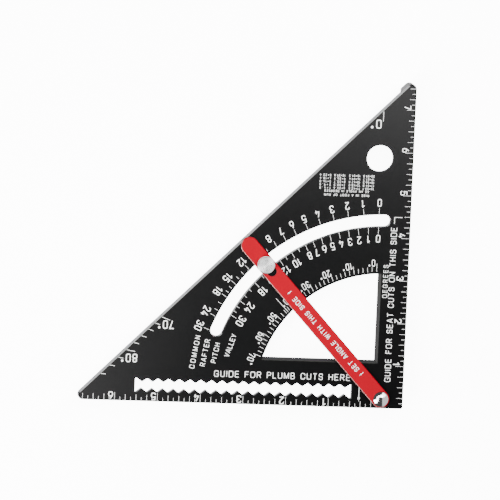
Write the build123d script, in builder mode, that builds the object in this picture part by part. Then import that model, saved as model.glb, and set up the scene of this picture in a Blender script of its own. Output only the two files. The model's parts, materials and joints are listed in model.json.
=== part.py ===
from build123d import *
import os
from math import cos, radians, sin, sqrt

# A rafter square with a pivoted layout arm. The plate lies flat with its marked face up (+Z).
# Its right angle is at +X -Y: one leg runs along the bottom edge (-Y), the other up the
# right-hand edge (+X). The origin is under the middle of the outline, level with the fence's foot.

# ---- Driving dimensions, in millimetres and degrees --------------------------------------
INCH = 25.4

LEG = 197.4  # each leg of the triangle, measured to its sharp corners
TIP_R = 3.0  # rounding of the two acute tips
CORNER_R = 1.2  # rounding of the right-angle corner
PLATE_T = 5.0
LONG_EDGE_CHAMFER = 0.9  # along the hypotenuse, marked face
BACK_EDGE_CHAMFER = 0.5  # along the hypotenuse, back face

FENCE_W = 8.0  # the fence hangs behind the right-hand edge
FENCE_H = 10.0
FENCE_FOOT_CHAMFER = 0.6

PIVOT_LEFT = 13.6  # arm pivot, left of the right-hand edge
PIVOT_UP = 5.8  # arm pivot, above the bottom edge

SLOT_R = 106.1  # centreline of the curved slot, about the pivot
SLOT_W = 7.0
SLOT_FROM = 1.2  # ends of that centreline, left of straight up
SLOT_TO = 69.1
SLOT_CHAMFER = 0.4
GROOVE_W = 11.4  # wider groove behind the slot, for the lock's head
GROOVE_H = 1.7

WINDOW_R = 74.6  # sector-shaped window, about the pivot
WINDOW_LEFT = 17.7  # its two straight sides, at the back
WINDOW_UP = 28.3
WINDOW_BEVEL = 1.6  # along the straight sides, marked face

HANG_D = 15.8
HANG_LEFT = 19.9
HANG_UP = 148.6

NOTCH_PITCH = INCH / 4  # scribing notches, one on every quarter-inch line
NOTCH_FIRST = 1.25 * INCH  # left of the right-hand edge
NOTCH_COUNT = 21
NOTCH_END = 0.9  # end walls, past the first and last notch
NOTCH_LEVELS = (5.3, 7.7)  # sharp bottoms and peaks of the lower side, above the bottom edge
WAVE_LEVELS = (13.8, 11.55)  # sharp tops and dips of the upper side
NOTCH_R = 0.45
WAVE_R = 1.1
NOTCH_END_R = 0.5

ARM_ANGLE = 42.6  # stored position of the arm, left of straight up
ARM_W = 10.4
ARM_T = 2.0
ARM_REACH = 120.7  # pivot to the centre of the far rounded end
ARM_CHAMFER = 0.35
ARM_SLOT = (100.4, 107.6)  # short slot for the lock bolt, end centres from the pivot
ARM_SLOT_W = 5.8

PLAY = 0.2  # axial gap between pieces that move on each other
RUN = 0.06  # radial gap of a shaft that turns in a hole
GRIP = 0.02  # bite of the pivot nut on its thread, on the radius

PIVOT_D = 5.0
PIVOT_HEAD_D = 8.9
PIVOT_HEAD_H = 2.3
PIVOT_HEAD_RIM = 0.5  # straight side under the dome
PIVOT_WASHER_D = 9.8
PIVOT_WASHER_T = 0.5
RECESS_D = 9.4  # counterbore in the plate's back, for the nut and its washer
RECESS_H = 2.6
BACK_WASHER_D = 9.0
BACK_WASHER_T = 0.4
NUT_D = 8.6  # round nut
NUT_H = 2.0
NUT_HOLE_D = 1.0  # two pin-spanner holes
NUT_HOLE_H = 1.0
NUT_HOLE_R = 3.4
TAIL_IN = 0.2  # end of the bolt, inside the nut

LOCK_D = 5.0
LOCK_HEAD_D = 10.6
LOCK_HEAD_H = 0.9
NECK_PLAY = 0.3  # between the square neck and the curved slot
PAD_D = 10.4
PAD_T = 0.5
GLIDE_D = 9.6
GLIDE_T = 0.4
KNOB_WASHER_D = 9.2
KNOB_WASHER_T = 0.6
KNOB_D = 10.0
KNOB_H = 4.6
KNOB_CHAMFER = 0.4
KNOB_BORE_H = 3.7
STEM_IN_KNOB = 3.2  # stem inside the knob when it is tight
KNURL_COUNT = 36
KNURL_D = 0.5  # round grooves, centred on the knob's side
KNURL_LAND = 1.0  # plain bands above and below the knurl

# ---- Places worked out from the driving dimensions ----------------------------------------
HALF = (LEG - sqrt(2) * TIP_R) / 2  # half the extent of the rounded outline
PLATE_BACK = FENCE_H
PLATE_FRONT = PLATE_BACK + PLATE_T
ARM_BACK = PLATE_FRONT + PIVOT_WASHER_T + PLAY
ARM_FRONT = ARM_BACK + ARM_T
PAD_BACK = PLATE_BACK + GROOVE_H - PLAY - PAD_T
NECK_W = SLOT_W - 2 * NECK_PLAY
KNOB_WASHER_BACK = ARM_FRONT + PLAY
KNOB_BACK = KNOB_WASHER_BACK + KNOB_WASHER_T + PLAY
DOME_BACK = ARM_FRONT + PLAY
DOME_RISE = PIVOT_HEAD_H - PIVOT_HEAD_RIM
DOME_R = (DOME_RISE**2 + (PIVOT_HEAD_D / 2) ** 2) / (2 * DOME_RISE)
NUT_FRONT = PLATE_BACK + RECESS_H - BACK_WASHER_T
TAIL_END = NUT_FRONT - NUT_H + TAIL_IN


def at(left, up):
    """A point given left of the right-hand edge and up from the bottom edge."""
    return (HALF - left, up - HALF)


PIVOT = at(PIVOT_LEFT, PIVOT_UP)
ARM_X, ARM_Y = -sin(radians(ARM_ANGLE)), cos(radians(ARM_ANGLE))
LOCK = (PIVOT[0] + SLOT_R * ARM_X, PIVOT[1] + SLOT_R * ARM_Y)


def pivot_plane(z):
    """A plane at the pivot, with its x along the arm."""
    return Plane(origin=(*PIVOT, z), x_dir=(ARM_X, ARM_Y, 0), z_dir=(0, 0, 1))


def lock_plane(z):
    """A plane at the lock bolt, with its x along the arm."""
    return Plane(origin=(*LOCK, z), x_dir=(ARM_X, ARM_Y, 0), z_dir=(0, 0, 1))


def notched_slot():
    """Corners and corner radii of the scribing slot: V notches below, a softer wave above."""
    lefts = [NOTCH_FIRST + i * NOTCH_PITCH / 2 for i in range(2 * NOTCH_COUNT - 1)]
    lower = [at(left, NOTCH_LEVELS[i % 2]) for i, left in enumerate(lefts)]
    upper = [at(left, WAVE_LEVELS[i % 2]) for i, left in enumerate(lefts)]
    right, left = lefts[0] - NOTCH_END, lefts[-1] + NOTCH_END
    corners = [at(right, NOTCH_LEVELS[0]), *lower, at(left, NOTCH_LEVELS[0])]
    corners += [at(left, WAVE_LEVELS[0]), *reversed(upper), at(right, WAVE_LEVELS[0])]
    radii = [NOTCH_END_R, *[NOTCH_R] * len(lower), NOTCH_END_R]
    radii += [NOTCH_END_R, *[WAVE_R] * len(upper), NOTCH_END_R]
    return corners, radii


# ---- Plate and fence ----------------------------------------------------------------------
OUTLINE = [at(0, 0), at(0, LEG), at(LEG, 0)]
OUTLINE_RADII = [CORNER_R, TIP_R, TIP_R]
slot_centreline = CenterArc(PIVOT, SLOT_R, 90 + SLOT_FROM, SLOT_TO - SLOT_FROM)
slot_corners, slot_radii = notched_slot()

with BuildPart() as square_body:
    with BuildSketch(Plane.XY.offset(PLATE_BACK)):
        with BuildLine():
            FilletPolyline(*OUTLINE, radius=OUTLINE_RADII, close=True)
        make_face()
    extrude(amount=PLATE_T)
    with BuildSketch():
        with BuildLine():
            FilletPolyline(*OUTLINE, radius=OUTLINE_RADII, close=True)
        make_face()
        with Locations((HALF - FENCE_W / 2, 0)):
            Rectangle(FENCE_W, 2 * LEG, mode=Mode.INTERSECT)
    extrude(amount=FENCE_H)

    long_edges = square_body.edges().filter_by(lambda e: e.length > LEG).sort_by(Axis.Z)
    chamfer(long_edges[-1], LONG_EDGE_CHAMFER)
    long_edges = square_body.edges().filter_by(lambda e: e.length > LEG).sort_by(Axis.Z)
    chamfer(long_edges[0], BACK_EDGE_CHAMFER)
    foot_edges = square_body.edges().group_by(Axis.Z)[0].sort_by(SortBy.LENGTH)
    chamfer(foot_edges[-2:], FENCE_FOOT_CHAMFER)

    with BuildSketch(Plane.XY.offset(PLATE_FRONT)):
        SlotArc(slot_centreline, SLOT_W)
    extrude(amount=-PLATE_T, mode=Mode.SUBTRACT)
    slot_faces = square_body.faces().filter_by(GeomType.CYLINDER).sort_by(SortBy.AREA)[-2:]
    chamfer(slot_faces[0].edges().group_by(Axis.Z)[-1], SLOT_CHAMFER)

    with BuildSketch(Plane.XY.offset(PLATE_FRONT)):
        with Locations(PIVOT):
            Circle(WINDOW_R)
        with Locations(at(WINDOW_LEFT, WINDOW_UP)):
            Rectangle(LEG, LEG, align=(Align.MAX, Align.MIN), mode=Mode.INTERSECT)
    extrude(amount=-PLATE_T, mode=Mode.SUBTRACT)
    right_middle = (*at(WINDOW_LEFT, (WINDOW_UP + WINDOW_R) / 2), PLATE_FRONT)
    lower_middle = (*at((WINDOW_LEFT + WINDOW_R) / 2, WINDOW_UP), PLATE_FRONT)
    sides = [square_body.edges().sort_by_distance(p)[0] for p in (right_middle, lower_middle)]
    chamfer(sides, WINDOW_BEVEL)

    with BuildSketch(Plane.XY.offset(PLATE_FRONT)):
        with BuildLine():
            FilletPolyline(*slot_corners, radius=slot_radii, close=True)
        make_face()
        with Locations(at(HANG_LEFT, HANG_UP)):
            Circle(HANG_D / 2)
        with Locations(PIVOT):
            Circle(PIVOT_D / 2 + RUN)
    extrude(amount=-PLATE_T, mode=Mode.SUBTRACT)

    with BuildSketch(Plane.XY.offset(PLATE_BACK)):
        SlotArc(slot_centreline, GROOVE_W)
    extrude(amount=GROOVE_H, mode=Mode.SUBTRACT)
    with BuildSketch(pivot_plane(PLATE_BACK)):
        Circle(RECESS_D / 2)
    extrude(amount=RECESS_H, mode=Mode.SUBTRACT)

# ---- Arm ----------------------------------------------------------------------------------
with BuildPart() as layout_arm:
    with BuildSketch(pivot_plane(ARM_BACK)):
        with Locations((ARM_REACH / 2, 0)):
            SlotCenterToCenter(ARM_REACH, ARM_W)
    extrude(amount=ARM_T)
    chamfer(layout_arm.edges().group_by(Axis.Z)[-1], ARM_CHAMFER)
    with BuildSketch(pivot_plane(ARM_BACK)):
        Circle(PIVOT_D / 2 + RUN)
        with Locations((sum(ARM_SLOT) / 2, 0)):
            SlotCenterToCenter(ARM_SLOT[1] - ARM_SLOT[0], ARM_SLOT_W)
    extrude(amount=ARM_T, mode=Mode.SUBTRACT)

# ---- Pivot --------------------------------------------------------------------------------
dome_section = Plane(origin=(*PIVOT, DOME_BACK), x_dir=(1, 0, 0), z_dir=(0, -1, 0))
with BuildPart() as pivot_bolt:
    with BuildSketch(dome_section):
        with BuildLine():
            Polyline((0, PIVOT_HEAD_H), (0, 0), (PIVOT_HEAD_D / 2, 0), (PIVOT_HEAD_D / 2, PIVOT_HEAD_RIM))
            RadiusArc((PIVOT_HEAD_D / 2, PIVOT_HEAD_RIM), (0, PIVOT_HEAD_H), -DOME_R)
        make_face()
    revolve(axis=Axis(origin=(*PIVOT, 0), direction=(0, 0, 1)))
    with BuildSketch(pivot_plane(TAIL_END)):
        Circle(PIVOT_D / 2)
    extrude(amount=DOME_BACK - TAIL_END)
    chamfer(pivot_bolt.edges().group_by(Axis.Z)[0], PIVOT_D / 10)

with BuildPart() as pivot_washer:
    with BuildSketch(pivot_plane(PLATE_FRONT)):
        Circle(PIVOT_WASHER_D / 2)
        Circle(PIVOT_D / 2 + RUN, mode=Mode.SUBTRACT)
    extrude(amount=PIVOT_WASHER_T)

with BuildPart() as pivot_back_washer:
    with BuildSketch(pivot_plane(NUT_FRONT)):
        Circle(BACK_WASHER_D / 2)
        Circle(PIVOT_D / 2 + RUN, mode=Mode.SUBTRACT)
    extrude(amount=BACK_WASHER_T)

with BuildPart() as pivot_nut:
    with BuildSketch(pivot_plane(NUT_FRONT)):
        Circle(NUT_D / 2)
        Circle(PIVOT_D / 2 - GRIP, mode=Mode.SUBTRACT)
    extrude(amount=-NUT_H)
    with BuildSketch(pivot_plane(NUT_FRONT - NUT_H)):
        with PolarLocations(NUT_HOLE_R, 2):
            Circle(NUT_HOLE_D / 2)
    extrude(amount=NUT_HOLE_H, mode=Mode.SUBTRACT)

# ---- Lock ---------------------------------------------------------------------------------
with BuildPart() as lock_bolt:
    with BuildSketch(lock_plane(PAD_BACK)):
        Circle(LOCK_HEAD_D / 2)
    extrude(amount=-LOCK_HEAD_H)
    fillet(lock_bolt.edges().group_by(Axis.Z)[0], LOCK_HEAD_H / 2)
    with BuildSketch(lock_plane(PAD_BACK)):
        Rectangle(NECK_W, NECK_W)
    extrude(amount=PLATE_FRONT - NECK_PLAY - PAD_BACK)
    with BuildSketch(lock_plane(PLATE_FRONT - NECK_PLAY)):
        Circle(LOCK_D / 2)
    extrude(amount=KNOB_BACK + STEM_IN_KNOB - PLATE_FRONT + NECK_PLAY)

with BuildPart() as lock_pad:
    with BuildSketch(lock_plane(PAD_BACK)):
        Circle(PAD_D / 2)
        Rectangle(NECK_W, NECK_W, mode=Mode.SUBTRACT)
    extrude(amount=PAD_T)

with BuildPart() as lock_glide:
    with BuildSketch(lock_plane(ARM_BACK)):
        Circle(GLIDE_D / 2)
        Circle(LOCK_D / 2 + RUN, mode=Mode.SUBTRACT)
    extrude(amount=-GLIDE_T)

with BuildPart() as knob_washer:
    with BuildSketch(lock_plane(KNOB_WASHER_BACK)):
        Circle(KNOB_WASHER_D / 2)
        Circle(LOCK_D / 2 + RUN, mode=Mode.SUBTRACT)
    extrude(amount=KNOB_WASHER_T)

with BuildPart() as lock_knob:
    with BuildSketch(lock_plane(KNOB_BACK)):
        Circle(KNOB_D / 2)
    extrude(amount=KNOB_H)
    chamfer(lock_knob.edges().group_by(Axis.Z)[0], KNOB_CHAMFER)
    chamfer(lock_knob.edges().group_by(Axis.Z)[-1], KNOB_CHAMFER)
    with BuildSketch(lock_plane(KNOB_BACK)):
        Circle(LOCK_D / 2 + RUN)
    extrude(amount=KNOB_BORE_H, mode=Mode.SUBTRACT)
    with BuildSketch(lock_plane(KNOB_BACK + KNURL_LAND)):
        with PolarLocations(KNOB_D / 2, KNURL_COUNT):
            Circle(KNURL_D / 2)
    extrude(amount=KNOB_H - 2 * KNURL_LAND, mode=Mode.SUBTRACT)

# ---- Files --------------------------------------------------------------------------------
PIECES = {
    "square_body": square_body,
    "layout_arm": layout_arm,
    "pivot_bolt": pivot_bolt,
    "pivot_washer": pivot_washer,
    "pivot_back_washer": pivot_back_washer,
    "pivot_nut": pivot_nut,
    "lock_bolt": lock_bolt,
    "lock_pad": lock_pad,
    "lock_glide": lock_glide,
    "knob_washer": knob_washer,
    "lock_knob": lock_knob,
}
os.makedirs("parts", exist_ok=True)
for name, piece in PIECES.items():
    piece.part.label = name
    export_step(piece.part, f"parts/{name}.step")
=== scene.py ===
import json
import math

import bpy
from mathutils import Matrix, Quaternion, Vector
from mathutils.geometry import delaunay_2d_cdt, tessellate_polygon

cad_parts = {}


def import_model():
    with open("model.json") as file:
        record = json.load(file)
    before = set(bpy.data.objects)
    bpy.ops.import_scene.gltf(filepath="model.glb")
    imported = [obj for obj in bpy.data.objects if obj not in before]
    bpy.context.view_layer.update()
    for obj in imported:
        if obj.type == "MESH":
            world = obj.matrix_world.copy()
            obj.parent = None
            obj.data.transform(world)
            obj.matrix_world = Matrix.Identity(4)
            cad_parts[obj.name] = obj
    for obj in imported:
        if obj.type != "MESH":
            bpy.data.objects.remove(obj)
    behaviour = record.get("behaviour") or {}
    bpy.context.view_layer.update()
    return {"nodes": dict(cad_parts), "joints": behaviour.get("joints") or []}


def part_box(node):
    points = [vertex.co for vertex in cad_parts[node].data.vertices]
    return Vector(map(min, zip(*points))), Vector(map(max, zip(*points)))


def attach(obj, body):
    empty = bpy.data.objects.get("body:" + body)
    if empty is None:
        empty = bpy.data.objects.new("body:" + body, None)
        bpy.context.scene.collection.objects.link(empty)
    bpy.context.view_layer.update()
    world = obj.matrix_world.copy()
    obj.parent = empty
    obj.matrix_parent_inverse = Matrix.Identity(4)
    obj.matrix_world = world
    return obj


# A rafter square with a pivoted arm. Lengths are in millimetres here and turned to metres by MM.
# Places on the plate are given as on the tool: left of the right-hand edge, up from the bottom edge.

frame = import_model()

MM = 0.001
INCH = 25.4
LEG = 197.4  # each leg of the plate, measured to its sharp corners
TIP_R = 3.0  # rounding of the two acute tips
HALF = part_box("square_body")[1].x / MM
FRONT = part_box("pivot_washer")[0].z / MM  # marked face of the plate
ARM_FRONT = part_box("layout_arm")[1].z / MM
JOINTS = {j["name"]: j for j in frame["joints"]}
PIVOT_X, PIVOT_Y = (v / MM for v in JOINTS["arm_swing"]["pos_m"][:2])
LOCK_X, LOCK_Y = (v / MM for v in JOINTS["lock_turn"]["pos_m"][:2])
PIVOT = (HALF - PIVOT_X, PIVOT_Y + HALF)  # left, up
SCALE_CENTRE = (19.1, 4.5)  # the pitch scales fan out from here
INK_H = 0.03  # marks stand this far out of their face
INK_SINK = 0.02  # and reach this far into it
SLOT_R = 106.1  # centreline of the curved slot, about the pivot
SLOT_HALF = 3.5
HANG = (19.9, 148.6)  # middle of the hang hole


def world(left, up):
    return (HALF - left, up - HALF)


# ---- Stroke lettering ---------------------------------------------------------------------
# Each glyph is drawn on a grid ten units high: its width, then its strokes. A point is (x, y)
# for a sharp corner or (x, y, r) for a rounded one. A stroke whose last point repeats its
# first is a closed loop.
def loop(x0, y0, x1, y1, r):
    middle = (x0 + x1) / 2
    return [(middle, y0), (x1, y0, r), (x1, y1, r), (x0, y1, r), (x0, y0, r), (middle, y0)]


SIX = [loop(0, 0, 5, 6.1, 2.4), [(0, 3), (0, 5.2, 2), (2.9, 10)]]
P_BOWL = [(0, 0), (0, 10), (5.7, 10, 2.5), (5.7, 4.7, 2.5), (0, 4.7)]
GLYPHS = {
    "0": (5, [loop(0, 0, 5, 10, 2.4)]),
    "1": (3, [[(0, 7.6), (2.6, 10), (2.6, 0)]]),
    "2": (5, [[(0, 7.4), (0, 10, 2.4), (5, 10, 2.4), (5, 6, 2.2), (0, 0), (5.2, 0)]]),
    "3": (5, [[(0, 8), (0, 10, 2.3), (4.8, 10, 2.3), (4.8, 5.3, 2.2), (2, 5.3)],
              [(2, 5.3), (5, 5.3, 2.3), (5, 0, 2.4), (0, 0, 2.4), (0, 2)]]),
    "4": (5.4, [[(5.4, 2.4), (0, 2.4), (2.6, 10)], [(3.9, 5), (3.9, 0)]]),
    "5": (5, [[(4.7, 10), (0.5, 10), (0.2, 5.2), (2, 6.2, 1), (5, 6.2, 2.5), (5, 0, 2.5),
               (0, 0, 2.4), (0, 1.9)]]),
    "6": (5, SIX),
    "7": (5, [[(0, 10), (5, 10), (1.9, 0)]]),
    "8": (5, [loop(0, 0, 5, 5.2, 2.3), loop(0.4, 5.2, 4.6, 10, 2)]),
    "9": (5, [[(5 - p[0], 10 - p[1], *p[2:]) for p in s] for s in SIX]),
    "A": (6.8, [[(0, 0), (3.1, 10), (3.7, 10), (6.8, 0)], [(1.2, 3.3), (5.6, 3.3)]]),
    "B": (6, [[(0, 5.2), (0, 10), (5.3, 10, 2.3), (5.3, 5.2, 2.3), (0, 5.2)],
              [(0, 5.2), (5.9, 5.2, 2.5), (5.9, 0, 2.5), (0, 0), (0, 5.2)]]),
    "C": (6.4, [[(6.4, 7), (6.4, 10, 3), (0, 10, 3.1), (0, 0, 3.1), (6.4, 0, 3), (6.4, 3)]]),
    "D": (6.4, [[(0, 5), (0, 10), (6.4, 10, 3.1), (6.4, 0, 3.1), (0, 0), (0, 5)]]),
    "E": (5.6, [[(5.6, 10), (0, 10), (0, 0), (5.6, 0)], [(0, 5.2), (5.1, 5.2)]]),
    "F": (5.3, [[(5.3, 10), (0, 10), (0, 0)], [(0, 5.2), (4.7, 5.2)]]),
    "G": (6.7, [[(6.6, 7.2), (6.6, 10, 3), (0, 10, 3.2), (0, 0, 3.2), (6.6, 0, 2.6), (6.6, 4.7),
                 (3.6, 4.7)]]),
    "H": (6, [[(0, 0), (0, 10)], [(6, 0), (6, 10)], [(0, 5.2), (6, 5.2)]]),
    "I": (0.2, [[(0.1, 0), (0.1, 10)]]),
    "L": (5, [[(0, 10), (0, 0), (5, 0)]]),
    "M": (7.2, [[(0, 0), (0, 10), (3.6, 0.8), (7.2, 10), (7.2, 0)]]),
    "N": (6, [[(0, 0), (0, 10), (6, 0), (6, 10)]]),
    "O": (7, [loop(0, 0, 7, 10, 3.4)]),
    "P": (5.7, [P_BOWL]),
    "R": (6, [P_BOWL, [(3, 4.7), (6, 0)]]),
    "S": (5.8, [[(5.6, 7.6), (5.6, 10, 2.4), (0.2, 10, 2.4), (0.2, 5.2, 2.2), (5.8, 5.2, 2.4),
                 (5.8, 0, 2.6), (0, 0, 2.6), (0, 2.4)]]),
    "T": (6, [[(0, 10), (6, 10)], [(3, 10), (3, 0)]]),
    "U": (6, [[(0, 10), (0, 0, 3), (6, 0, 3), (6, 10)]]),
    "V": (6.4, [[(0, 10), (3.2, 0), (6.4, 10)]]),
    "W": (9, [[(0, 10), (2.3, 0), (4.5, 9.4), (6.7, 0), (9, 10)]]),
    "Y": (6.2, [[(0, 10), (3.1, 4.6), (6.2, 10)], [(3.1, 4.6), (3.1, 0)]]),
    ".": (0.6, [[(0, 0.1), (0.6, 0.1)]]),
    "=": (5, [[(0, 3.6), (5, 3.6)], [(0, 6.4), (5, 6.4)]]),
    "*": (2.6, [loop(1, 8, 2.7, 9.8, 0.8)]),
    " ": (3, []),
}
CORNER_STEPS = 4
DISC_SIDES = 10
FLATTEN = 0.05  # how far a dropped outline point may stand off, on the glyph grid


def rounded(points):
    """A stroke's points, with each rounded corner turned to a short curve."""
    path = []
    for i, p in enumerate(points):
        corner = Vector(p[:2])
        if len(p) == 2:
            path.append(corner)
            continue
        before, after = Vector(points[i - 1][:2]), Vector(points[i + 1][:2])
        start = corner + (before - corner).normalized() * min(p[2], (before - corner).length * 0.98)
        end = corner + (after - corner).normalized() * min(p[2], (after - corner).length * 0.98)
        for k in range(CORNER_STEPS + 1):
            t = k / CORNER_STEPS
            bend = start * (1 - t) ** 2 + corner * 2 * t * (1 - t) + end * t * t
            arc = bend.lerp(corner, 0.17 * 4 * t * (1 - t))
            if not path or (arc - path[-1]).length > 0.02:
                path.append(arc)
    return path


def stroke_tiles(path, half):
    """Convex tiles that cover a stroke of that half width: a box a segment, a disc a joint."""
    tiles = []
    closed = (path[0] - path[-1]).length < 0.01
    for i in range(len(path) - 1):
        along = (path[i + 1] - path[i]).normalized() * half
        across = Vector((-along.y, along.x))
        a, b = path[i], path[i + 1]
        tiles.append([a - across, b - across, b + across, a + across])
        if i or closed:
            turn = [2 * math.pi * k / DISC_SIDES for k in range(DISC_SIDES)]
            tiles.append([a + along * math.cos(t) + across * math.sin(t) for t in turn])
    return tiles


def outlines(points, triangles):
    """The closed edges of a set of triangles, in order, without points that barely bend."""
    edges = {(f[i], f[(i + 1) % 3]) for f in triangles for i in range(3)}
    after = {}
    for a, b in sorted(edges):
        if (b, a) not in edges:
            after.setdefault(a, []).append(b)
    loops = []
    while after:
        start = min(after)
        ring, here = [], start
        while here in after:
            ring.append(points[here])
            ahead = after[here].pop()
            if not after[here]:
                del after[here]
            here = ahead
        bending = True
        while bending and len(ring) > 3:
            bending = False
            for i in range(len(ring)):
                a, b, c = ring[i - 1], ring[i], ring[(i + 1) % len(ring)]
                base = c - a
                off = abs(base.x * (b - a).y - base.y * (b - a).x) / max(base.length, 1e-6)
                if off < FLATTEN:
                    del ring[i]
                    bending = True
                    break
        if len(ring) > 2:
            loops.append(ring)
    return loops


class Ink:
    """Gathers flat marks into one mesh of thin closed slabs standing on a face at height z."""

    shapes = {}

    def __init__(self, z):
        self.low, self.high = (z - INK_SINK) * MM, (z + INK_H) * MM
        self.verts, self.faces = [], []

    def slab(self, points, faces):
        """points are (x, y) in world millimetres; faces index them, turning left seen from above."""
        first, count = len(self.verts), len(points)
        self.verts += [(x * MM, y * MM, self.high) for x, y in points]
        self.verts += [(x * MM, y * MM, self.low) for x, y in points]
        edges = {(f[i], f[(i + 1) % len(f)]) for f in faces for i in range(len(f))}
        self.faces += [tuple(first + i for i in f) for f in faces]
        self.faces += [tuple(first + count + i for i in reversed(f)) for f in faces]
        for i, j in sorted(edges):
            if (j, i) not in edges:
                self.faces.append((first + j, first + i, first + count + i, first + count + j))

    def line(self, start, end, width):
        """A straight tick between two places on the plate."""
        a, b = Vector(world(*start)), Vector(world(*end))
        along = (b - a).normalized()
        across = Vector((-along.y, along.x)) * width / 2
        self.slab([a - across, b - across, b + across, a + across], [(0, 1, 2, 3)])

    def arrow(self, tail, tip, width, head):
        """A tick that ends in a small filled head."""
        self.line(tail, tip, width)
        a, b = Vector(world(*tail)), Vector(world(*tip))
        along = (b - a).normalized()
        across = Vector((-along.y, along.x)) * head * 0.38
        base = b - along * head
        self.slab([base - across, b + along * head * 0.2, base + across], [(0, 1, 2)])

    def glyph_shape(self, char, weight):
        """Points and triangles of a glyph whose height and stroke are 10 and weight."""
        key = (char, weight)
        if key not in self.shapes:
            squash = (10 - weight) / 10
            points, tiles = [], []
            for stroke in GLYPHS[char][1]:
                path = [Vector((p.x, weight / 2 + p.y * squash)) for p in rounded(stroke)]
                for tile in stroke_tiles(path, weight / 2):
                    tiles.append(list(range(len(points), len(points) + len(tile))))
                    points += tile
            found = delaunay_2d_cdt(points, [], tiles, 0, 1e-4)
            kept = [tuple(f) for f, came_from in zip(found[2], found[5]) if came_from]
            loops = outlines(found[0], kept)
            flat = [p for ring in loops for p in ring]
            faces = tessellate_polygon([[p.to_3d() for p in ring] for ring in loops])
            turned = []
            for a, b, c in faces:
                ab, ac = flat[b] - flat[a], flat[c] - flat[a]
                turned.append((a, b, c) if ab.x * ac.y - ab.y * ac.x > 0 else (a, c, b))
            self.shapes[key] = (flat, turned)
        return self.shapes[key]

    def text(self, words, centre, up, height, weight=0.14, width=1.0, gap=0.24, length=None):
        """Words centred on a place on the plate. up is the angle of the letters' tops from +X."""
        scale = height / 10
        unit = scale * width
        stroke = weight * 10
        widths = [(GLYPHS[c][0] + stroke) * unit for c in words]
        space = gap * height
        total = sum(widths) + space * (len(words) - 1)
        if length:
            space += (length - total) / (len(words) - 1)
            total = length
        top = Vector((math.cos(math.radians(up)), math.sin(math.radians(up))))
        right = Vector((top.y, -top.x))
        origin = Vector(world(*centre)) - right * total / 2 - top * height / 2
        for c, w in zip(words, widths):
            if GLYPHS[c][1]:
                points, faces = self.glyph_shape(c, stroke)
                self.slab(
                    [origin + right * (p.x + stroke / 2) * unit + top * p.y * scale for p in points], faces
                )
            origin = origin + right * (w + space)

    def build(self, name, body, material):
        mesh = bpy.data.meshes.new(name)
        mesh.from_pydata(self.verts, [], self.faces)
        mesh.validate()
        mesh.materials.append(material)
        piece = bpy.data.objects.new(name, mesh)
        bpy.context.scene.collection.objects.link(piece)
        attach(piece, body)
        return piece


# ---- Materials ----------------------------------------------------------------------------
class Nodes:
    """A material and short ways to add and join its nodes."""

    def __init__(self, name):
        self.material = bpy.data.materials.new(name)
        self.material.use_nodes = True
        self.tree = self.material.node_tree
        self.shader = self.tree.nodes["Principled BSDF"]

    def add(self, kind, links=None, **values):
        node = self.tree.nodes.new(kind)
        for key, value in values.items():
            setattr(node, key, value)
        for socket, source in (links or {}).items():
            self.put(node.inputs[socket], source)
        return node

    def put(self, socket, source):
        if isinstance(source, bpy.types.NodeSocket):
            self.tree.links.new(source, socket)
        else:
            socket.default_value = source

    def set(self, **values):
        for key, value in values.items():
            self.put(self.shader.inputs[key.replace("_", " ")], value)

    def math(self, operation, a, b=0.0, c=0.0, clamp=False):
        node = self.add("ShaderNodeMath", {0: a, 1: b, 2: c}, operation=operation, use_clamp=clamp)
        return node.outputs[0]

    def step(self, value, low, high):
        """0 below low, 1 above high."""
        node = self.add(
            "ShaderNodeMapRange",
            {"Value": value, "From Min": low, "From Max": high},
            interpolation_type="SMOOTHSTEP",
        )
        return node.outputs[0]

    def below(self, value, low, high):
        """1 below low, 0 above high."""
        return self.math("SUBTRACT", 1.0, self.step(value, low, high))

    def left_of(self, x, left):
        """1 further left than that of the right-hand edge, with a soft half millimetre."""
        return self.below(x, (HALF - left - 0.5) * MM, (HALF - left) * MM)

    def product(self, first, *others):
        for other in others:
            first = self.math("MULTIPLY", first, other)
        return first

    def distance(self, x, y, centre):
        """Distance of a point from a vertical line, whose place is in world millimetres."""
        dx = self.math("SUBTRACT", x, centre[0] * MM)
        dy = self.math("SUBTRACT", y, centre[1] * MM)
        squares = self.math("ADD", self.math("MULTIPLY", dx, dx), self.math("MULTIPLY", dy, dy))
        return self.math("SQRT", squares)

    def place(self):
        return self.add("ShaderNodeTexCoord").outputs["Object"]

    def noise(self, scale, detail=2.0, roughness=0.5, vector=None):
        links = {"Scale": scale, "Detail": detail, "Roughness": roughness}
        links["Vector"] = vector or self.place()
        return self.add("ShaderNodeTexNoise", links).outputs["Fac"]

    def range(self, value, low, high):
        node = self.add("ShaderNodeMapRange", {"Value": value, "To Min": low, "To Max": high})
        return node.outputs[0]

    def mix(self, factor, a, b):
        node = self.add("ShaderNodeMix", data_type="RGBA")
        self.put(node.inputs["Factor"], factor)
        self.put(node.inputs["A"], a)
        self.put(node.inputs["B"], b)
        return node.outputs["Result"]

    def bump(self, height, distance, strength=1.0):
        node = self.add(
            "ShaderNodeBump", {"Height": height, "Distance": distance, "Strength": strength}
        )
        self.put(self.shader.inputs["Normal"], node.outputs[0])


def grey(v):
    return (v, v, v, 1)


EDGE_BAND = 1.0  # bare band along the long edge
SLOT_BAND = 0.5  # bare metal reaches this far past the slot's walls
BARE_SLOT_TOP = 5.0  # the curved slot's bare metal starts this far above the pivot
BARE_SLOT_RIGHT = 8.5  # and this far left of the right-hand edge
NOTCH_REACH = ((29.0, 161.5), (4.6, 14.6))  # bare scribing slot: from, to; left and up
WINDOW_REACH = (15.9, 26.3, 75.0)  # window walls that get the painted sheen: left, up and radius about the pivot
HANG_REACH = 8.2  # hang-hole wall that gets the painted sheen, radius


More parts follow.
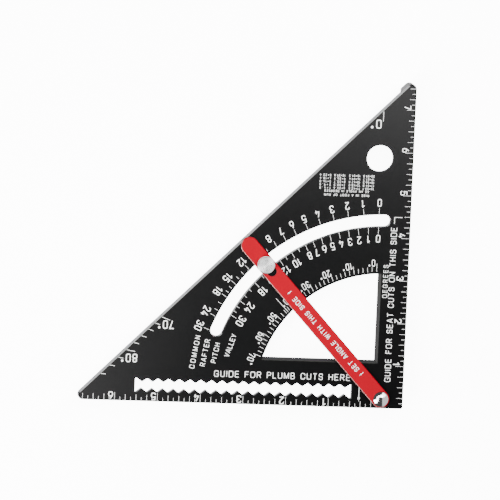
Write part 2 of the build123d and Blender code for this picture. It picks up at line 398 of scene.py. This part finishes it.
def plate_material():
    """Black anodised plate, bare on the long edge and in the slots; the walls of the other openings are
    painted a lighter grey, a painted sheen for the light they catch.
    """
    m = Nodes("plate_black")
    at = m.add("ShaderNodeSeparateXYZ", {0: m.place()})
    x, y = at.outputs[0], at.outputs[1]
    normal = m.add("ShaderNodeNewGeometry").outputs["True Normal"]
    facing = m.math("ABSOLUTE", m.add("ShaderNodeSeparateXYZ", {0: normal}).outputs[2])
    wall = m.below(facing, 0.85, 0.95)

    past_middle = m.math("MULTIPLY", m.math("SUBTRACT", y, x), math.sqrt(0.5))
    long_edge = m.step(past_middle, (TIP_R - EDGE_BAND) * MM, (TIP_R - EDGE_BAND + 0.1) * MM)
    pivot_r = m.distance(x, y, (PIVOT_X, PIVOT_Y))
    off = m.math("ABSOLUTE", m.math("SUBTRACT", pivot_r, SLOT_R * MM))
    ring = m.below(off, (SLOT_HALF + SLOT_BAND) * MM, (SLOT_HALF + SLOT_BAND + 0.2) * MM)
    above = m.step(m.math("SUBTRACT", y, PIVOT_Y * MM), BARE_SLOT_TOP * MM, (BARE_SLOT_TOP + 1) * MM)
    ring = m.product(ring, above, m.left_of(x, BARE_SLOT_RIGHT))
    (right, left), (low, high) = NOTCH_REACH
    notches = m.product(
        m.step(y, (low - HALF) * MM, (low + 0.2 - HALF) * MM),
        m.below(y, (high - 0.2 - HALF) * MM, (high - HALF) * MM),
        m.below(x, (HALF - right) * MM, (HALF - right + 0.5) * MM),
        m.step(x, (HALF - left - 0.5) * MM, (HALF - left) * MM),
    )
    bare = m.math("MAXIMUM", m.math("MAXIMUM", ring, notches), long_edge)
    bare = m.math("MULTIPLY", bare, wall, clamp=True)

    left, up, reach = WINDOW_REACH
    window = m.product(
        m.below(x, (HALF - left) * MM, (HALF - left + 0.2) * MM),
        m.step(y, (up - HALF) * MM, (up + 0.2 - HALF) * MM),
        m.below(pivot_r, reach * MM, (reach + 0.4) * MM),
    )
    hang = m.below(m.distance(x, y, world(*HANG)), HANG_REACH * MM, (HANG_REACH + 0.2) * MM)
    # The walls of the window and hang hole: this mask carries the painted sheen.
    cut = m.math("MULTIPLY", m.math("MAXIMUM", window, hang), wall, clamp=True)

    scuff = m.noise(260.0, 4.0, 0.62)
    cloud = m.noise(18.0, 3.0, 0.55)
    black = m.mix(cloud, (0.0007, 0.0007, 0.0008, 1), (0.0012, 0.0012, 0.0013, 1))
    # Painted sheen: a lighter grey on those walls, standing in for the light they catch.
    painted_sheen = m.mix(scuff, grey(0.018), grey(0.034))
    metal = m.mix(scuff, (0.50, 0.505, 0.51, 1), (0.74, 0.745, 0.75, 1))
    rough = m.math("ADD", m.range(scuff, 0.27, 0.33), m.math("MULTIPLY", cloud, 0.05))
    m.set(
        Base_Color=m.mix(bare, m.mix(cut, black, painted_sheen), metal),
        Metallic=bare,
        Roughness=m.math("SUBTRACT", rough, m.math("MULTIPLY", bare, 0.12)),
    )
    m.shader.inputs["Specular IOR Level"].default_value = 0.13
    m.bump(m.noise(5200.0, 2.0, 0.6), 0.00002, 0.35)
    return m.material


ARM_SIDE = (-0.736, -0.677)  # from the arm's middle towards its lower left side, which faces the key light and gets the painted highlight


def arm_material():
    """Red anodised arm with a painted highlight: the lower left chamfer, which faces the key light, is
    painted pale and metallic.
    """
    m = Nodes("arm_red")
    normal = m.add("ShaderNodeSeparateXYZ", {0: m.add("ShaderNodeTexCoord").outputs["Normal"]})
    facing = normal.outputs[2]
    across = m.math("MULTIPLY", normal.outputs[1], ARM_SIDE[1])
    lower_left = m.math("MULTIPLY_ADD", normal.outputs[0], ARM_SIDE[0], across)
    # The chamfer band on the lower left side only, where the key light falls: this mask carries the
    # painted highlight.
    lit_chamfer = m.product(m.step(facing, 0.55, 0.68), m.below(facing, 0.76, 0.92), m.step(lower_left, 0.0, 0.4))
    side = m.below(m.math("ABSOLUTE", facing), 0.2, 0.45)
    scuff = m.noise(420.0, 4.0, 0.6)
    cloud = m.noise(30.0, 2.0, 0.5)
    red = m.mix(cloud, (0.235, 0.0003, 0.0075, 1), (0.265, 0.0005, 0.009, 1))
    # Painted highlight: a pale colour, broken up by noise, on that lower left chamfer; the same mask makes
    # it metallic below.
    painted_sheen = m.mix(m.math("MULTIPLY", lit_chamfer, m.range(scuff, 0.7, 1.0)), red, (0.80, 0.42, 0.40, 1))
    wall = m.mix(m.math("MULTIPLY", side, m.range(scuff, 0.55, 0.9)), painted_sheen, (0.16, 0.10, 0.10, 1))
    m.set(
        Base_Color=wall,
        Metallic=m.math("MAXIMUM", m.math("MULTIPLY", lit_chamfer, 0.9), 0.04),
        Roughness=m.math("SUBTRACT", m.range(scuff, 0.36, 0.46), m.math("MULTIPLY", lit_chamfer, 0.1)),
    )
    m.shader.inputs["Specular IOR Level"].default_value = 0.005
    m.bump(m.noise(4600.0, 2.0, 0.6), 0.00002, 0.45)
    return m.material


def turned_material(name, centre, rough, light, dark, pitch, aniso):
    """Metal turned on a lathe: fine rings about a vertical line, and a radial sheen."""
    m = Nodes(name)
    at = m.add("ShaderNodeSeparateXYZ", {0: m.place()})
    r = m.distance(at.outputs[0], at.outputs[1], centre)
    rings = m.math("SINE", m.math("MULTIPLY", r, 2 * math.pi / (pitch * MM)))
    joined = m.add("ShaderNodeCombineXYZ", {0: r, 2: at.outputs[2]})
    bands = m.noise(1400.0, 2.0, 0.5, joined.outputs[0])
    m.set(
        Base_Color=m.mix(bands, grey(dark), grey(light)),
        Roughness=m.range(bands, rough - 0.05, rough + 0.08),
    )
    m.shader.inputs["Metallic"].default_value = 1.0
    if aniso:
        m.shader.inputs["Anisotropic"].default_value = aniso
        m.shader.inputs["Anisotropic Rotation"].default_value = 0.25
        tangent = m.add("ShaderNodeTangent", direction_type="RADIAL", axis="Z")
        m.put(m.shader.inputs["Tangent"], tangent.outputs[0])
    m.bump(m.math("ADD", m.math("MULTIPLY", rings, 0.5), bands), 0.000001, 0.25)
    return m.material


def plated_material(name, light, dark, rough):
    """Zinc-plated steel with a faint mottle."""
    m = Nodes(name)
    mottle = m.noise(520.0, 4.0, 0.65)
    m.set(
        Base_Color=m.mix(mottle, dark, light),
        Roughness=m.range(m.noise(1500.0, 2.0), rough - 0.06, rough + 0.08),
    )
    m.shader.inputs["Metallic"].default_value = 1.0
    m.bump(m.noise(3000.0, 2.0, 0.5), 0.00001, 0.4)
    return m.material


def nylon_material(name, light, dark, rough):
    """Matt moulded nylon, or a matt printed ink."""
    m = Nodes(name)
    m.set(
        Base_Color=m.mix(m.noise(700.0, 3.0, 0.6), dark, light),
        Roughness=m.range(m.noise(1800.0, 2.0), rough - 0.05, rough + 0.08),
    )
    m.shader.inputs["Specular IOR Level"].default_value = 0.35
    m.bump(m.noise(4200.0, 2.0, 0.55), 0.00001, 0.4)
    return m.material


INK = nylon_material("nylon_white", (0.90, 0.90, 0.89, 1), (0.80, 0.80, 0.79, 1), 0.6)
ZINC = plated_material("washer_steel", (0.70, 0.70, 0.71, 1), (0.52, 0.52, 0.53, 1), 0.32)
LOOKS = {
    "square_body": plate_material(),
    "layout_arm": arm_material(),
    "pivot_bolt": turned_material("pivot_chrome", (PIVOT_X, PIVOT_Y), 0.09, 0.86, 0.80, 0.5, 0),
    "pivot_washer": INK,
    "pivot_back_washer": ZINC,
    "pivot_nut": ZINC,
    "lock_bolt": plated_material("bolt_steel", (0.62, 0.62, 0.63, 1), (0.46, 0.46, 0.47, 1), 0.36),
    "lock_pad": nylon_material("nylon_black", (0.045, 0.045, 0.046, 1), (0.03, 0.03, 0.03, 1), 0.55),
    "lock_glide": INK,
    "knob_washer": ZINC,
    "lock_knob": turned_material("knob_steel", (LOCK_X, LOCK_Y), 0.27, 0.9, 0.76, 0.22, 0.92),
}
for name, look in LOOKS.items():
    mesh = frame["nodes"][name].data
    mesh.materials.clear()
    mesh.materials.append(look)


# ---- Rulers along both legs ---------------------------------------------------------------
def toward(left, up):
    """Angle from +X, in degrees, of a direction given as left and up."""
    return math.degrees(math.atan2(up, -left))


EIGHTH = INCH / 8
RULER_ZERO = 19.05  # the bottom ruler starts under the scales' centre
TICK_INSET = 0.15  # ticks start this far inside the edge
TICK_W = 0.17
BOTTOM_TICKS = (5.0, 3.8, 2.4)  # lengths at an inch, a quarter and an eighth
RIGHT_TICKS = (5.3, 3.9, 2.5)


def tick_length(eighths, lengths):
    inch, quarter, eighth = lengths
    if eighths % 8 == 0:
        return inch
    return quarter if eighths % 2 == 0 else eighth


rulers = Ink(FRONT)
for n in range(55):
    left = RULER_ZERO + n * EIGHTH
    rulers.line((left, TICK_INSET), (left, tick_length(n, BOTTOM_TICKS)), TICK_W)
for n in range(1, 61):
    up = n * EIGHTH
    rulers.line((TICK_INSET, up), (tick_length(n, RIGHT_TICKS), up), TICK_W)
for inch in range(1, 7):
    rulers.text(str(inch), (RULER_ZERO + inch * INCH + 2.4, 3.0), -90, 4.6, 0.12)
for inch in range(1, 8):
    rulers.text(str(inch), (5.0, inch * INCH + 1.6), 0, 4.2, 0.12)
rulers.build("ruler_marks", "square", INK)


# ---- Pitch and degree scales --------------------------------------------------------------
def on_ray(angle, radius):
    """Where a ray from the scales' centre, left of straight up, is that far from the pivot."""
    dx, dy = math.sin(math.radians(angle)), math.cos(math.radians(angle))
    ox, oy = SCALE_CENTRE[0] - PIVOT[0], SCALE_CENTRE[1] - PIVOT[1]
    along = ox * dx + oy * dy
    t = -along + math.sqrt(along**2 - ox**2 - oy**2 + radius**2)
    return (SCALE_CENTRE[0] + t * dx, SCALE_CENTRE[1] + t * dy)


def to_centre(place):
    """Letters' up direction at a place: towards the scales' centre."""
    return toward(SCALE_CENTRE[0] - place[0], SCALE_CENTRE[1] - place[1])


LABELLED = [0, 1, 2, 3, 4, 5, 6, 7, 8, 10, 12, 15, 18, 24, 30]
SCALE_TICK_W = 0.18
OUTER_8_TURN = 0.9  # the outer 8 stands a little past its tick, clear of the lock
pitch = Ink(FRONT)
for run, long_tick, short_tick, label_r, between in (
    (12, (110.3, 113.6), (110.8, 112.8), 116.7, [9, 11, 13, 14, 16, 17, 20, 22]),
    (17, (102.3, 98.6), (102.3, 100.3), 95.4, [9, 11, 13, 14, 16, 20, 22, 26, 28]),
):
    for rise in LABELLED:
        angle = math.degrees(math.atan(rise / run))
        pitch.line(on_ray(angle, long_tick[0]), on_ray(angle, long_tick[1]), SCALE_TICK_W)
        turn = OUTER_8_TURN if (run, rise) == (12, 8) else 0.0
        place = on_ray(angle + turn, label_r)
        pitch.text(str(rise), place, to_centre(place), 4.6, 0.12, 0.86, 0.18)
    for rise in between:
        angle = math.degrees(math.atan(rise / run))
        pitch.line(on_ray(angle, short_tick[0]), on_ray(angle, short_tick[1]), SCALE_TICK_W)
pitch.build("pitch_marks", "square", INK)

DEGREE_R = 75.9  # degree ticks start here, about the pivot
degrees = Ink(FRONT)
for angle in range(0, 72, 2):
    tens = angle % 10 == 0
    degrees.line(on_ray(angle, DEGREE_R), on_ray(angle, 80.6 if tens else 78.6), SCALE_TICK_W)
    if tens:
        place = on_ray(angle, 80.8)
        turn = math.radians(angle)
        shift = 3.4 if angle else 3.0  # labels stand beside their ticks
        place = (place[0] + shift * math.cos(turn), place[1] - shift * math.sin(turn))
        degrees.text(f"{angle}*", place, to_centre(place), 4.1, 0.11, 0.76, 0.18)

degrees.line(on_ray(45, DEGREE_R), on_ray(45, 86.6), 0.23)

EDGE_SUM = LEG - 1.6  # left plus up, just inside the bare band
EDGE_LINE_W = 0.24


def edge_line(angle, length):
    """A degree line that starts at the long edge and points to the scales' centre."""
    dx, dy = math.sin(math.radians(angle)), math.cos(math.radians(angle))
    t = (EDGE_SUM - sum(SCALE_CENTRE)) / (dx + dy)
    outer = (SCALE_CENTRE[0] + t * dx, SCALE_CENTRE[1] + t * dy)
    degrees.line(outer, (outer[0] - length * dx, outer[1] - length * dy), EDGE_LINE_W)


edge_line(0, 6.0)
for angle in range(70, 88, 2):
    edge_line(angle, 5.2 if angle % 10 == 0 else 2.9)
degrees.text("0*", (23.2, 169.0), -90, 5.4, 0.12, 0.95, 0.2)
degrees.text("70*", (142.6, 46.0), -90, 5.1, 0.12, 0.9, 0.2)
degrees.text("80*", (163.7, 25.5), -90, 5.1, 0.12, 0.9, 0.2)
degrees.build("degree_marks", "square", INK)

# ---- Lettering on the plate ---------------------------------------------------------------
lettering = Ink(FRONT)
lettering.text("GUIDE FOR SEAT CUTS ON THIS SIDE", (9.8, 62.0), 180, 3.6, 0.10, 0.92, length=92.0)
lettering.text("DEGREES", (13.6, 75.8), 180, 2.8, 0.10, 0.92, length=19.5)
lettering.line((9.8, 110.2), (9.8, 114.0), 0.34)
lettering.line((9.97, 114.0), (5.2, 114.0), 0.34)
lettering.text("GUIDE FOR PLUMB CUTS HERE", (72.5, 17.8), 90, 3.8, 0.10, 0.95, length=81.0)
lettering.arrow((26.4, 12.5), (26.4, 4.2), 0.34, 2.0)
for words, start, end in (
    ("COMMON", (126.5, 20.5), (123.5, 40.0)),
    ("RAFTER", (120.2, 22.0), (117.6, 38.0)),
    ("PITCH", (113.8, 24.2), (111.6, 36.0)),
    ("VALLEY", (106.2, 28.0), (102.0, 41.5)),
):
    run = Vector((end[0] - start[0], end[1] - start[1]))
    middle = ((start[0] + end[0]) / 2, (start[1] + end[1]) / 2)
    lettering.text(words, middle, toward(run.x, run.y) + 90, 3.1, 0.11, 0.9, length=run.length)

lettering.text("RISE IN A FOOT OF RUN", (39.0, 126.3), -90, 1.4, 0.14, 0.9, length=26.6)
lettering.text("AS AN ANGLE IN DEGREES", (39.0, 128.6), -90, 1.3, 0.14, 0.9, length=26.6)
TABLE_ROWS = 5
for i, column in enumerate((52.0, 43.5, 34.6, 26.2)):
    for row in range(TABLE_ROWS):
        rise = i * TABLE_ROWS + row + 1
        entry = f"{rise}={math.degrees(math.atan(rise / 12)):.1f}"
        lettering.text(entry, (column, 130.3 + 1.9 * row), -90, 1.35, 0.15, 0.8, length=6.6)
lettering.build("plate_lettering", "square", INK)

# ---- Lettering on the arm -----------------------------------------------------------------
arm_ink = Ink(ARM_FRONT)
START, END = (28.0, 22.5), (68.0, 64.5)
run = Vector((END[0] - START[0], END[1] - START[1]))
arm_up = toward(run.x, run.y) + 90
middle = ((START[0] + END[0]) / 2, (START[1] + END[1]) / 2)
arm_ink.text("SET ANGLE WITH THIS SIDE", middle, arm_up, 3.0, 0.12, 0.9, length=run.length)
arm_ink.arrow((24.6, 21.6), (26.8, 19.6), 0.3, 1.3)
arm_ink.arrow((69.6, 68.6), (71.8, 66.6), 0.3, 1.3)
arm_ink.build("arm_lettering", "arm", INK)


# ---- Floor, light and camera --------------------------------------------------------------
def floor_material():
    """Plain white sweep that glows, so that it renders white all over."""
    m = Nodes("floor")
    m.set(
        Base_Color=m.mix(m.noise(6.0, 2.0), grey(0.90), grey(0.93)),
        Roughness=m.range(m.noise(40.0), 0.7, 0.8),
    )
    m.shader.inputs["Emission Color"].default_value = grey(1.0)
    m.shader.inputs["Emission Strength"].default_value = 10.0
    return m.material


FLOOR_HALF = 2.0  # metres
FLOOR_DROP = 0.0002
floor_mesh = bpy.data.meshes.new("floor")
corners = [(x * FLOOR_HALF, y * FLOOR_HALF, 0) for x, y in ((-1, -1), (1, -1), (1, 1), (-1, 1))]
floor_mesh.from_pydata(corners, [], [(0, 1, 2, 3)])
floor_mesh.materials.append(floor_material())
floor = bpy.data.objects.new("floor", floor_mesh)
floor.location = (0, 0, -FLOOR_DROP)
floor.visible_glossy = False  # its glow lights nothing and shows in no reflection
floor.visible_diffuse = False
bpy.context.scene.collection.objects.link(floor)


def area_light(name, place, target, size, radiance, turn=0.0):
    """A soft box that lights the scene without being seen itself."""
    data = bpy.data.lights.new(name, "AREA")
    data.shape = "RECTANGLE"
    data.size, data.size_y = size
    data.energy = radiance * math.pi * size[0] * size[1]
    light = bpy.data.objects.new(name, data)
    light.location = place
    light.rotation_mode = "QUATERNION"
    aimed = (Vector(target) - Vector(place)).to_track_quat("-Z", "Y")
    light.rotation_quaternion = aimed @ Quaternion((0, 0, 1), math.radians(turn))
    light.visible_camera = False
    bpy.context.scene.collection.objects.link(light)


area_light("key", (-0.85, -0.62, 0.66), (0, 0, 0), (0.7, 0.7), 24.0)
area_light("fill", (0.75, 0.75, 0.70), (0, 0, 0), (0.8, 0.8), 5.0)
area_light("top_box", (0.175, 0.135, 0.36), (0.175, 0.135, 0), (0.2, 0.2), 12.0)
area_light("left_box", (-0.155, -0.145, 0.36), (-0.155, -0.145, 0), (0.2, 0.2), 10.0)
area_light("long_box", (-0.07, 0.07, 0.36), (-0.07, 0.07, 0), (0.3, 0.16), 8.5, 45.0)
area_light("edge_box", (-0.85, 0.85, 0.18), (0, 0, 0.012), (1.0, 0.3), 1.2)

# The studio is dark on the left and bright on the right, and an even grey below the horizon
scene_world = bpy.data.worlds.new("studio")
bpy.context.scene.world = scene_world
scene_world.use_nodes = True
sky = scene_world.node_tree
backdrop = sky.nodes["Background"]
direction = sky.nodes.new("ShaderNodeTexCoord")
split = sky.nodes.new("ShaderNodeSeparateXYZ")
side, above_floor, both = (
    sky.nodes.new(n) for n in ("ShaderNodeMapRange", "ShaderNodeMapRange", "ShaderNodeMix")
)
sky.links.new(direction.outputs["Generated"], split.inputs[0])
sky.links.new(split.outputs[0], side.inputs["Value"])
side.interpolation_type = "SMOOTHSTEP"
for socket, value in (("From Min", 0.28), ("From Max", 0.42), ("To Min", 0.07), ("To Max", 1.0)):
    side.inputs[socket].default_value = value
for socket, value in (("From Min", -0.06), ("From Max", 0.02)):
    above_floor.inputs[socket].default_value = value
sky.links.new(split.outputs[2], above_floor.inputs["Value"])
sky.links.new(above_floor.outputs[0], both.inputs["Factor"])
both.inputs["A"].default_value = 0.55
sky.links.new(side.outputs[0], both.inputs["B"])
sky.links.new(both.outputs["Result"], backdrop.inputs["Color"])
backdrop.inputs["Strength"].default_value = 1.0

CAMERA_D = 5.0  # metres from the aim
TILT = math.radians(8.5)  # the camera leans to the upper left
VIEW_WIDTH = 0.29517  # what the picture spans at the aim, in metres
SENSOR = 36.0
ROLL = -0.04364  # radians
aim = Vector((*(v * MM for v in world(94.885, 91.85)), FRONT * MM))
lean = Vector((-math.sqrt(0.5), math.sqrt(0.5), 0)) * math.sin(TILT)
camera_data = bpy.data.cameras.new("camera")
camera_data.sensor_width = SENSOR
camera_data.lens = SENSOR * CAMERA_D / VIEW_WIDTH
camera_data.clip_start, camera_data.clip_end = 0.05, 20.0
camera = bpy.data.objects.new("camera", camera_data)
back = Vector((lean.x, lean.y, math.cos(TILT)))
camera.location = aim + back * CAMERA_D
up_hint = Vector((math.sin(ROLL), math.cos(ROLL), 0))
right = up_hint.cross(back).normalized()
true_up = back.cross(right)
camera.rotation_mode = "QUATERNION"
camera.rotation_quaternion = Matrix((right, true_up, back)).transposed().to_quaternion()
bpy.context.scene.collection.objects.link(camera)
bpy.context.scene.camera = camera
